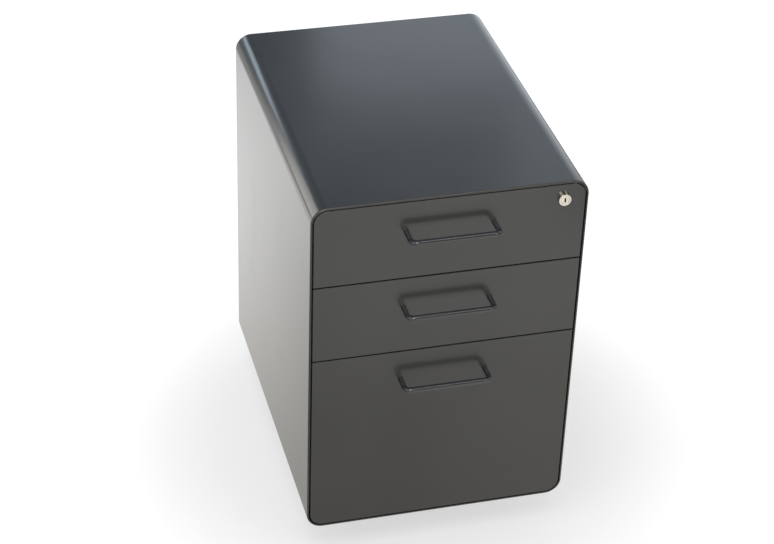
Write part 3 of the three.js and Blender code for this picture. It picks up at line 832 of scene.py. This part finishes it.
# Casters. The plate's box gives the swivel axis, and the wheel's box the axle.
casterSizes = {
    "plateSheet": 2.5 * mm,
    "plateRadius": 6 * mm,
    "plateSteps": 8,
    "plateEdge": 0.5 * mm,
    "boltHole": 2.75 * mm,
    "boltInset": 9 * mm,
    "race": 16 * mm,
    "raceEdge": 1.6 * mm,
    "raceSteps": 5,
    "runGap": 0.3 * mm,
    "kingpin": 4 * mm,
    "kingpinHead": 6 * mm,
    "kingpinHeadHeight": 1.5 * mm,
    "kingpinEdge": 0.6 * mm,
    "forkSheet": 2 * mm,
    "forkBend": 3.2 * mm,
    "forkBendSteps": 6,
    "forkDisc": 17 * mm,
    "discEdge": 0.7 * mm,
    "forkHalf": 13 * mm,
    "forkNose": 10 * mm,  # in front of the swivel axis
    "legEnd": 7 * mm,
    "legRound": 0.93,  # of the leg's end
    "legSteps": 12,
    "axleShank": 3 * mm,
    "axleHead": 1.5 * mm,
    "axleEdge": 0.9 * mm,
    "axleSteps": 32,
    "axleEdgeSteps": 4,
    "steps": 64,
    "treadEdge": 2.2 * mm,
    "treadSteps": 6,
    "wheelRim": 3.5 * mm,
    "wheelWeb": 2 * mm,  # how deep the wheel's sides are dished
    "wheelSlope": 0.36,
    "wheelHub": 7 * mm,
    "wheelBore": 3.4 * mm,
    "wheelEdge": 0.6 * mm,
}
leverSizes = {
    "hub": 3.2 * mm,
    "hubSteps": 32,
    "pivot": 2 * mm,
    "pivotEnd": 2 * mm,
    "pivotSteps": 24,
    "noseSheet": 2 * mm,
    "noseEdge": 0.6 * mm,
    "noseReach": 4.2 * mm,
    "noseLean": 20,  # degrees from the line to the axle while released
    "pedalReach": 16 * mm,
    "pedalSheet": 2.6 * mm,
    "pedalEdge": 0.9 * mm,
    "pedalEdgeSteps": 4,
    "ribs": 4,
    "ribHeight": 0.5 * mm,
    "ribWidth": 1.0 * mm,
    "ribInset": 2 * mm,
}


def makePlate(node, axis, sizes):
    low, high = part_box(node)
    half = (high.x - low.x) / 2
    toPlace = Matrix.Translation((axis.x, axis.y, high.z)) @ alongY
    bm = bmesh.new()
    corner = Vector((half, 0, half))
    plate = roundedSheet(bm, -corner, corner, 0, [sizes["plateRadius"]] * 4, sizes["plateSteps"])
    pull(bm, [plate], (0, sizes["plateSheet"], 0))
    pointOut(bm)
    roundOff(bm, bendsWhere(bm, lambda spot: True), sizes["plateEdge"], edgeSteps)
    bmesh.ops.transform(bm, matrix=toPlace, verts=bm.verts)
    under = high.z - sizes["plateSheet"]
    spread = half - sizes["boltInset"]
    cutters = []
    for x in [-spread, spread]:
        for y in [-spread, spread]:
            spot = Matrix.Translation((axis.x + x, axis.y + y, 0))
            cutters.append(cutterRod(sizes["boltHole"], under - mm, high.z + mm, spot))
    finishPiece(bm, node + "_pressing", zinc, node, 0, cutters)

    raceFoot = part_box(node.replace("plate", "fork"))[1].z + sizes["runGap"]
    headTop = low.z + sizes["kingpinHeadHeight"]
    bm = bmesh.new()
    profile = [
        (0, low.z),
        (sizes["kingpinHead"], low.z),
        (sizes["kingpinHead"], headTop),
        (sizes["kingpin"], headTop),
        (sizes["kingpin"], raceFoot),
        (sizes["race"], raceFoot),
        (sizes["race"], under),
        (0, under),
    ]
    turned(bm, profile, sizes["steps"], Matrix.Translation((axis.x, axis.y, 0)))
    pointOut(bm)
    footEdges = bendsWhere(bm, lambda spot: near(spot.z, raceFoot), squareOnly)
    outer = [e for e in footEdges if (e.verts[0].co.xy - axis.xy).length > sizes["race"] - mm]
    roundOff(bm, outer, sizes["raceEdge"], sizes["raceSteps"])
    pinEdges = bendsWhere(bm, lambda spot: near(spot.z, low.z), squareOnly)
    roundOff(bm, pinEdges, sizes["kingpinEdge"], edgeSteps)
    finishPiece(bm, node + "_race", zinc, node, standsFor=False)


def makeFork(node, axis, axle, sizes):
    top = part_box(node)[1]
    half = sizes["forkHalf"]
    end = sizes["legEnd"]
    foot = axle.z - end
    bm = bmesh.new()
    spots = [
        (axis.y - sizes["forkNose"], top.z),
        (axle.y - end, foot),
        (axle.y + end, foot),
        (top.y, top.z),
    ]
    corners = [bm.verts.new((axis.x - half, y, z)) for y, z in spots]
    bm.faces.new(corners)
    for corner in corners[1:3]:
        bmesh.ops.bevel(bm, geom=[corner], offset=end * sizes["legRound"], offset_type="OFFSET",
                        segments=sizes["legSteps"], profile=0.5, affect="VERTICES", material=-1)
    pull(bm, bm.faces[:], (2 * half, 0, 0))
    pointOut(bm)
    keep = facesWhere(bm, lambda middle, normal: abs(normal.x) > 0.9 or normal.z > 0.99)
    drop(bm, [f for f in bm.faces if f not in keep])
    shoulders = bendsWhere(bm, lambda spot: near(spot.z, top.z))
    roundOff(bm, shoulders, sizes["forkBend"], sizes["forkBendSteps"])
    finishPiece(bm, node + "_pressing", zinc, node, sizes["forkSheet"])

    bm = bmesh.new()
    inner = sizes["kingpin"] + sizes["runGap"]
    outer = sizes["forkDisc"]
    under = top.z - sizes["forkSheet"]
    profile = [(inner, top.z), (outer, top.z), (outer, under), (inner, under), (inner, top.z)]
    turned(bm, profile, sizes["steps"], Matrix.Translation((axis.x, axis.y, 0)))
    pointOut(bm)
    rim = bendsWhere(bm, lambda spot: (spot.xy - axis.xy).length > outer - mm, squareOnly)
    roundOff(bm, rim, sizes["discEdge"], edgeSteps)
    finishPiece(bm, node + "_disc", zinc, node, standsFor=False)


def makeAxle(node, axle, sizes):
    low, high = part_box(node)
    reach = (high.x - low.x) / 2
    seat = reach - sizes["axleHead"]
    head = (high.z - low.z) / 2
    shank = sizes["axleShank"]
    bm = bmesh.new()
    profile = [
        (0, -reach),
        (head, -reach),
        (head, -seat),
        (shank, -seat),
        (shank, seat),
        (head, seat),
        (head, reach),
        (0, reach),
    ]
    turned(bm, profile, sizes["axleSteps"], Matrix.Translation(axle) @ alongX)
    pointOut(bm)
    ends = bendsWhere(bm, lambda spot: near(abs(spot.x - axle.x), reach), squareOnly)
    roundOff(bm, ends, sizes["axleEdge"], sizes["axleEdgeSteps"])
    finishPiece(bm, node + "_rivet", zinc, node)


def makeWheel(node, axle, sizes):
    low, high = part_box(node)
    half = (high.x - low.x) / 2
    tread = axle.z
    web = half - sizes["wheelWeb"]
    bore = sizes["wheelBore"]
    hub = sizes["wheelHub"]
    rim = tread - sizes["wheelRim"]
    slope = (rim - hub) * sizes["wheelSlope"]
    side = [(bore, half), (hub, half), (hub + slope, web), (rim - slope, web), (rim, half), (tread, half)]
    profile = [(radius, -x) for radius, x in side] + side[::-1] + [(bore, -half)]
    bm = bmesh.new()
    turned(bm, profile, sizes["steps"], Matrix.Translation(axle) @ alongX)
    pointOut(bm)

    def fromAxle(spot):
        return (spot - Vector((spot.x, axle.y, axle.z))).length

    shoulders = bendsWhere(bm, lambda spot: near(fromAxle(spot), tread), squareOnly)
    roundOff(bm, shoulders, sizes["treadEdge"], sizes["treadSteps"])
    others = bendsWhere(bm, lambda spot: hub - mm < fromAxle(spot) < rim + mm, 20)
    roundOff(bm, others, sizes["wheelEdge"], edgeSteps)
    finishPiece(bm, node + "_moulding", nylon, node)


def makeLever(node, pivot, axle, sizes):
    low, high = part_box(node)
    pinEnd = (high.x - low.x) / 2
    half = pinEnd - sizes["pivotEnd"]
    bm = bmesh.new()
    hubLine = [(0, -half), (sizes["hub"], -half), (sizes["hub"], half), (0, half)]
    turned(bm, hubLine, sizes["hubSteps"], Matrix.Translation(pivot) @ alongX)
    pinLine = [(0, -pinEnd), (sizes["pivot"], -pinEnd), (sizes["pivot"], pinEnd), (0, pinEnd)]
    turned(bm, pinLine, sizes["pivotSteps"], Matrix.Translation(pivot) @ alongX)
    pointOut(bm)
    thick = sizes["pedalSheet"] / 2
    noseHalf = sizes["noseSheet"] / 2
    nose = bmesh.new()
    block(nose, (-half, 0, -noseHalf), (half, sizes["noseReach"], noseHalf))
    tip = bendsWhere(nose, lambda spot: near(spot.y, sizes["noseReach"]))
    roundOff(nose, tip, sizes["noseEdge"], edgeSteps)
    toAxle = atan2(axle.z - pivot.z, axle.y - pivot.y) + radians(sizes["noseLean"])
    toPlace = Matrix.Translation(pivot) @ Matrix.Rotation(toAxle, 4, "X")
    bmesh.ops.transform(nose, matrix=toPlace, verts=nose.verts)
    pedal = bmesh.new()
    block(pedal, (-half, 0, -thick), (half, sizes["pedalReach"], thick - sizes["ribHeight"]))
    pedalEdges = bendsWhere(pedal, lambda spot: spot.y > mm)
    roundOff(pedal, pedalEdges, sizes["pedalEdge"], sizes["pedalEdgeSteps"])
    gap = (sizes["pedalReach"] - sizes["hub"]) / (sizes["ribs"] + 1)
    ribEnd = half - sizes["ribInset"]
    ribHalf = sizes["ribWidth"] / 2
    for rib in range(sizes["ribs"]):
        y = sizes["hub"] + gap * (rib + 1)
        block(pedal, (-ribEnd, y - ribHalf, 0), (ribEnd, y + ribHalf, thick))
    bmesh.ops.transform(pedal, matrix=Matrix.Translation(pivot), verts=pedal.verts)
    for part in [nose, pedal]:
        piece = bpy.data.meshes.new("part")
        part.to_mesh(piece)
        part.free()
        bm.from_mesh(piece)
        bpy.data.meshes.remove(piece)
    finishPiece(bm, node + "_moulding", nylon, node)


for corner in ["front_left", "front_right", "rear_left", "rear_right"]:
    caster = "caster_" + corner
    plateLow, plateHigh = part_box(caster + "_plate")
    wheelLow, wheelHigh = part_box(caster + "_wheel")
    axis = (plateLow + plateHigh) / 2
    axle = (wheelLow + wheelHigh) / 2
    makePlate(caster + "_plate", axis, casterSizes)
    makeFork(caster + "_fork", axis, axle, casterSizes)
    makeAxle(caster + "_axle", axle, casterSizes)
    makeWheel(caster + "_wheel", axle, casterSizes)
    if caster + "_brake_lever" in nodes:
        makeLever(caster + "_brake_lever", jointPlace[caster + "_brake"], axle, leverSizes)
print("casters made")

# Camera, where the photograph was taken from
cameraPlace = {
    "spot": (-0.7510, -2.5746, 2.1280),
    "yaw": 15.830,  # to the right of +Y
    "pitch": 33.968,  # down
    "roll": 2.091,
    "lens": 97.575,
    "sensor": 36,
}


def makeCamera(sizes):
    lens = bpy.data.cameras.new("camera")
    lens.lens = sizes["lens"]
    lens.sensor_width = sizes["sensor"]
    camera = bpy.data.objects.new("camera", lens)
    bpy.context.scene.collection.objects.link(camera)
    turn = Matrix.Rotation(radians(-sizes["yaw"]), 4, "Z")
    turn = turn @ Matrix.Rotation(radians(90 - sizes["pitch"]), 4, "X")
    turn = turn @ Matrix.Rotation(radians(sizes["roll"]), 4, "Z")
    camera.matrix_world = Matrix.Translation(sizes["spot"]) @ turn
    bpy.context.scene.camera = camera


# Floor, world and lamps
floorLook = {
    "half": 9.0,
    "colour": (0.75, 0.74, 0.735, 1),
    "seenColour": (0.30, 0.30, 0.30, 1),  # in the picture, where the glow is added
    "glow": (0.62, 0.85),  # in the picture, near the pedestal and away from it; the weaker glow near the pedestal is a painted shade round it
    "glowRadius": (0.26, 0.60),
    "mirror": 0.63,  # what gloss sees of the floor under the pedestal
    "mirrorFront": 0.34,  # and how much more or less on each side
    "mirrorBehind": 1.05,
    "mirrorAside": -0.34,
    "mirrorRight": 0.26,
    "front": (0.30, 1.10),  # where each of these starts and is full, from the middle
    "behind": (-0.25, 1.00),
    "aside": (0.27, 0.42),
    "farAside": (0.60, 0.85),
    "right": (-0.22, 0.50),
    "dimStrip": (0.47, 0.53),  # a strip of floor to the left that glows less in gloss
    "dimStripEnd": (0.58, 0.70),
    "farBack": (1.20, 1.70),
    "farRight": (0.52, 0.66),
    "dimStripShare": 0.55,  # what is left of the light there
    "backShare": 0.38,
    "rightShare": 0.30,
    "nearTint": (0.98, 0.96, 0.91, 1),
    "farTint": (1.0, 1.0, 1.0, 1),
    "tintSpan": (0.0, 1.2),
}


# The floor looks white, keeps the shadow, and is brighter in reflections away from the pedestal. To the
# camera its glow is weaker near the pedestal, a painted shade round it.
def makeFloor(look):
    bm = bmesh.new()
    bmesh.ops.create_grid(bm, x_segments=1, y_segments=1, size=look["half"])
    floor = toObject(bm, "floor")
    tree = Nodes(bpy.data.materials.new("pale floor"))
    place = tree.place()
    toFront, toBack, toLeft, toRight = [
        tree.dot(place, way) for way in [(0, -1, 0), (0, 1, 0), (-1, 0, 0), (1, 0, 0)]
    ]
    front = tree.between(toFront, *look["front"])
    behind = tree.between(toBack, *look["behind"])
    aside = tree.between(toLeft, *look["aside"]) - tree.between(toLeft, *look["farAside"])
    right = tree.between(toRight, *look["right"])
    dimStrip = tree.between(toLeft, *look["dimStrip"]) - tree.between(toLeft, *look["dimStripEnd"])
    litLeft = 1 - dimStrip * (1 - look["dimStripShare"])
    litBack = tree.between(toBack, *look["farBack"], 1.0, look["backShare"])
    litRight = tree.between(toRight, *look["farRight"], 1.0, look["rightShare"])
    spread = front * look["mirrorFront"] + behind * look["mirrorBehind"]
    spread = spread + aside * look["mirrorAside"] + right * look["mirrorRight"]
    mirror = (look["mirror"] + spread) * litLeft * litBack * litRight
    tint = tree.mix(tree.between(behind + front, *look["tintSpan"]), look["nearTint"], look["farTint"])
    toCamera = tree.add("LightPath", output="Is Camera Ray")
    colour = tree.mix(toCamera, look["colour"], look["seenColour"])
    paint = tree.add("BsdfDiffuse", {}, {"Color": colour})
    toMirror = tree.add("LightPath", output="Is Glossy Ray")
    # painted shade: the glow to the camera falls off towards the pedestal
    bright = tree.between(tree.length(place), *look["glowRadius"], *look["glow"])
    glow = tree.add("Emission", {}, {"Strength": toCamera * bright})
    seen = tree.add("AddShader", {}, {0: paint, 1: glow})
    mirrored = tree.add("Emission", {}, {"Color": tint, "Strength": mirror})
    above = tree.add("MixShader", {}, {0: toMirror, 1: seen, 2: mirrored})
    fromBelow = tree.add("NewGeometry", output="Backfacing") * toCamera  # the camera sees through it
    clear = tree.add("BsdfTransparent")
    both = tree.add("MixShader", {}, {0: fromBelow, 1: above, 2: clear})
    tree.add("OutputMaterial", {}, {"Surface": both})
    floor.data.materials.append(tree.owner)


roomLook = {
    "walls": (0.42, 0.42, 0.44, 1),
    "front": (0.44, 0.42, 0.38, 1),
    "frontTowards": Vector((0, -1, 0)),
    "frontSpread": (70, 40),  # degrees from that way, where each starts and is full
    "right": (0.92, 0.88, 0.86, 1),
    "rightTowards": Vector((0.95, 0.30, 0.10)).normalized(),
    "rightSpread": (42, 20),
    "dim": (0.070, 0.114, 0.182, 1),
    "dimTowards": Vector((-0.25, 0.85, 0.45)).normalized(),
    "dimSpread": (62, 38),
}


# White to the camera. To the pedestal it is a grey room, dim behind and above.
def makeWorld(look):
    world = bpy.data.worlds.new("studio")
    bpy.context.scene.world = world
    tree = Nodes(world)
    direction = tree.add("TexCoord", output="Generated")
    toCamera = tree.add("LightPath", output="Is Camera Ray")
    colour = look["walls"]
    for patch in ["front", "right", "dim"]:
        wide, tight = [cos(radians(angle)) for angle in look[patch + "Spread"]]
        share = tree.between(tree.dot(direction, look[patch + "Towards"]), wide, tight)
        colour = tree.mix(share, colour, look[patch])
    room = tree.add("Background", {}, {"Color": colour})
    white = tree.add("Background", {}, {"Color": (1, 1, 1, 1)})
    seen = tree.add("MixShader", {}, {0: toCamera, 1: room, 2: white})
    tree.add("OutputWorld", {}, {"Surface": seen})


# Each lamp is a softbox that shines from its spot towards its target, unseen by the camera.
# The two that don't light anything show only in gloss, as bright patches on the side of the lock.
lamps = {
    "overhead": {
        "spot": (-0.5, -0.4, 3.0), "target": (0.0, 0.0, 0.0), "size": (2.2, 2.2),
        "radiance": 2.8, "colour": (1.0, 1.0, 1.0), "mirrored": False,
    },
    "strip": {
        "spot": (0.3, -1.5, 2.4), "target": (0.0, -0.2, 0.4), "size": (1.2, 0.25),
        "radiance": 6.0, "colour": (1.0, 0.95, 0.86), "mirrored": True,
    },
    "rearRight": {
        "spot": (0.86, 1.5, 0.835), "target": (0.86, 0.0, 0.835), "size": (1.29, 1.27),
        "radiance": 0.92, "colour": (0.90, 1.0, 1.09), "mirrored": True,
    },
    "rearHigh": {
        "spot": (1.10, 1.5, 1.745), "target": (1.10, 0.0, 1.745), "size": (0.8, 0.55),
        "radiance": 0.52, "colour": (0.90, 1.0, 1.09), "mirrored": True,
    },
    "rearLeft": {
        "spot": (-0.43, 0.78, 0.87), "target": (-0.16, 0.27, 0.6), "size": (0.22, 0.14),
        "radiance": 3.0, "colour": (0.82, 1.0, 1.14), "mirrored": True,
    },
    "frontLeft": {
        "spot": (-1.5, -1.3, 1.0), "target": (-0.1, -0.4, 0.1), "size": (0.8, 0.8),
        "radiance": 1.8, "colour": (1.0, 1.0, 1.0), "mirrored": True,
    },
    "frontHigh": {
        "spot": (-0.43, -1.83, 1.53), "target": (0.13, -0.26, 0.55), "size": (0.85, 0.5),
        "radiance": 9.5, "colour": (1.0, 0.98, 0.92), "mirrored": True, "lights": False,
    },
    "frontRight": {
        "spot": (1.17, -1.83, 1.22), "target": (0.13, -0.26, 0.55), "size": (0.25, 0.5),
        "radiance": 15.0, "colour": (1.0, 0.98, 0.92), "mirrored": True, "lights": False,
    },
    "left": {
        "spot": (-1.0, 0.80, 0.85), "target": (0.0, 0.70, 0.6), "size": (0.85, 0.9),
        "radiance": 2.6, "colour": (1.0, 0.97, 0.90), "mirrored": True,
    },
}


def makeLamp(name, look):
    lamp = bpy.data.lights.new(name, "AREA")
    lamp.shape = "RECTANGLE"
    lamp.size, lamp.size_y = look["size"]
    lamp.energy = look["radiance"] * pi * lamp.size * lamp.size_y
    lamp.color = look["colour"]
    holder = bpy.data.objects.new(name, lamp)
    bpy.context.scene.collection.objects.link(holder)
    aim = (Vector(look["target"]) - Vector(look["spot"])).to_track_quat("-Z", "Y")
    holder.matrix_world = Matrix.Translation(look["spot"]) @ aim.to_matrix().to_4x4()
    holder.visible_camera = False
    holder.visible_glossy = look["mirrored"]
    holder.visible_diffuse = look.get("lights", True)


makeCamera(cameraPlace)
makeFloor(floorLook)
makeWorld(roomLook)
for name, look in lamps.items():
    makeLamp(name, look)
bpy.context.scene.view_settings.view_transform = "Standard"
print("stage set")
